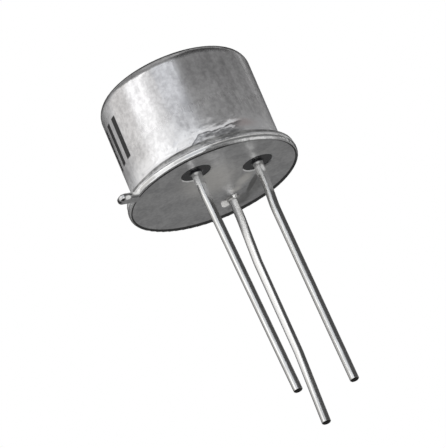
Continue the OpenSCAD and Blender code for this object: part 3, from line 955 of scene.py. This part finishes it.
makeBrazeBead(brazeBeadGlint)
makeBrazeRun(brazeRunGlint)
print("braze runs added")

# Studio. The pale floor under the lead tips fades out far away and can't be seen from below
floorSettings = {
    "light": (0.84, 0.84, 0.84, 1),
    "dark": (0.82, 0.82, 0.82, 1),
    "rough": 0.9,
    "specular": 0.1,
    "below": 0.02,
    "reach": 1500,
    "fade": (60, 420),
}


def makeFloorMaterial(settings):
    material, tree, shader = newMaterial("paleFloor")
    coords = objectCoords(tree)
    far = rampMm(tree, fromAxis(tree, split(tree, coords)), *settings["fade"])
    speckle = placeGroup(tree, smudges, Vector=coords, Scale=900.0, Low=0.3, High=0.7, Warp=0.0)
    tree.links.new(mixColour(tree, speckle, settings["light"], settings["dark"]), shader.inputs["Base Color"])
    shader.inputs["Roughness"].default_value = settings["rough"]
    shader.inputs["Specular IOR Level"].default_value = settings["specular"]
    clear = tree.nodes.new("ShaderNodeBsdfTransparent")
    fromBelow = tree.nodes.new("ShaderNodeNewGeometry").outputs["Backfacing"]
    hidden = maths(tree, "MAXIMUM", fromBelow, far)
    mix = addNode(tree, "ShaderNodeMixShader", inputs={0: hidden, 1: shader.outputs[0], 2: clear.outputs[0]})
    tree.links.new(mix.outputs[0], tree.nodes["Material Output"].inputs["Surface"])
    return material


def makeFloor(settings):
    mesh = bmesh.new()
    bmesh.ops.create_grid(mesh, x_segments=4, y_segments=4, size=settings["reach"] * mm)
    bmesh.ops.translate(mesh, verts=mesh.verts, vec=(0, 0, cadBox[0].z - settings["below"] * mm))
    floor = finishPiece(mesh, "floor", makeFloorMaterial(settings), False)
    floor.visible_glossy = False  # polished metal shows the white surroundings there


# Surroundings are white to the camera and to reflections, and plain soft light to the rest
worldSettings = {"ambient": 0.85}


def makeWorld(settings):
    world = bpy.data.worlds.new("studio")
    world.use_nodes = True
    scene.world = world
    tree = world.node_tree
    light = tree.nodes["Background"]
    rays = tree.nodes.new("ShaderNodeLightPath").outputs
    seen = maths(tree, "MAXIMUM", rays["Is Camera Ray"], rays["Is Glossy Ray"], rays["Is Transmission Ray"])
    light.inputs["Color"].default_value = (1, 1, 1, 1)
    tree.links.new(ramp(tree, seen, 0.0, 1.0, settings["ambient"], 1.0), light.inputs["Strength"])


# Directions are counted in degrees from +X round the can, and up from the floor. Lengths are in mm
softBox = {"angle": 141.5, "elevation": 24, "distance": 150, "width": 74, "height": 150, "radiance": 0.72}


def direction(angle, elevation):
    a, e = math.radians(angle), math.radians(elevation)
    return Vector((math.cos(a) * math.cos(e), math.sin(a) * math.cos(e), math.sin(e)))


def makeSoftBox(settings):
    data = bpy.data.lights.new("softBox", "AREA")
    data.shape = "RECTANGLE"
    data.size, data.size_y = fromMm(settings["width"], settings["height"])
    data.energy = settings["radiance"] * math.pi * data.size * data.size_y
    lamp = bpy.data.objects.new("softBox", data)
    scene.collection.objects.link(lamp)
    out = direction(settings["angle"], settings["elevation"])
    lamp.matrix_world = Matrix.Translation(out * settings["distance"] * mm) @ (
        -out).to_track_quat("-Z", "Y").to_matrix().to_4x4()


# Cards that only reflections see: what stands round the table, from bright left to dark right.
# Each goes from one angle to another and between two elevations.
cards = {
    "rightCard": {"from": 207, "to": 345, "low": 4, "high": 50, "distance": 140, "tone": 0.077},
    "slitCard": {"from": 325, "to": 332, "low": 4, "high": 50, "distance": 138, "tone": 0.42},
    "coolCard": {"from": 174, "to": 207, "low": -5, "high": 50, "distance": 140, "tone": 1.0,
                 "tint": (0.95, 0.98, 1.03)},
    "warmCard": {"from": 88, "to": 124, "low": -5, "high": 50, "distance": 151, "tone": 1.0,
                 "tint": (1.02, 1.0, 0.975)},
    "backCard": {"from": -25, "to": 46, "low": -6, "high": 72, "distance": 141, "tone": 0.03},
    "fadeCardA": {"from": 46, "to": 58, "low": -6, "high": 50, "distance": 141, "tone": 0.12},
    "fadeCardB": {"from": 58, "to": 74, "low": -6, "high": 50, "distance": 141, "tone": 0.34},
    "fadeCardC": {"from": 74, "to": 88, "low": -6, "high": 50, "distance": 141, "tone": 0.62},
    "rightLowCard": {"from": 205, "to": 318, "low": -45, "high": 4, "distance": 141, "tone": 0.30},
    "lowCard": {"from": -42, "to": 70, "low": -45, "high": -6, "distance": 142, "tone": 0.285},
    "leftLowCard": {"from": 70, "to": 110, "low": -55, "high": -25, "distance": 142, "tone": 0.10},
    "tableCard": {"from": 112, "to": 214, "low": -36, "high": -8, "distance": 142, "tone": 2.0},
    "floorCard": {"from": 0, "to": 360, "low": -90, "high": -45, "distance": 143, "tone": 0.10},
    "topCard": {"from": 75, "to": 214, "low": 50, "high": 73, "distance": 144, "tone": 0.30},
    "topRightCard": {"from": 214, "to": 435, "low": 50, "high": 73, "distance": 144, "tone": 0.05},
    "shoulderCardA": {"from": 318, "to": 347, "low": 46, "high": 73, "distance": 137, "tone": 0.34},
    "shoulderCardB": {"from": 42, "to": 68, "low": 46, "high": 73, "distance": 137, "tone": 0.36},
    "ceilingCard": {"from": 0, "to": 360, "low": 73, "high": 90, "distance": 144, "tone": 0.45},
}
cardSteps = {"up": 8, "round": 36}


def makeCard(name, settings):
    material, tree = newMaterial(name)[:2]
    glow = addNode(tree, "ShaderNodeEmission", inputs={
        "Color": (*settings.get("tint", (1, 1, 1)), 1), "Strength": settings["tone"]})
    tree.links.new(glow.outputs[0], tree.nodes["Material Output"].inputs["Surface"])
    start = math.radians(settings["from"])
    mesh = bmesh.new()
    corner = mesh.verts.new(direction(settings["from"], settings["low"]) * settings["distance"] * mm)
    bmesh.ops.spin(mesh, geom=[corner], cent=(0, 0, 0), axis=(math.sin(start), -math.cos(start), 0),
                   angle=math.radians(settings["high"] - settings["low"]), steps=cardSteps["up"])
    bmesh.ops.spin(mesh, geom=mesh.verts[:] + mesh.edges[:], cent=(0, 0, 0), axis=(0, 0, 1),
                   angle=math.radians(settings["to"] - settings["from"]), steps=cardSteps["round"])
    card = finishPiece(mesh, name, material, False)
    card.visible_camera = card.visible_diffuse = card.visible_shadow = False
    card.visible_transmission = False


makeFloor(floorSettings)
makeWorld(worldSettings)
makeSoftBox(softBox)
for name, settings in cards.items():
    makeCard(name, settings)
print("studio set")
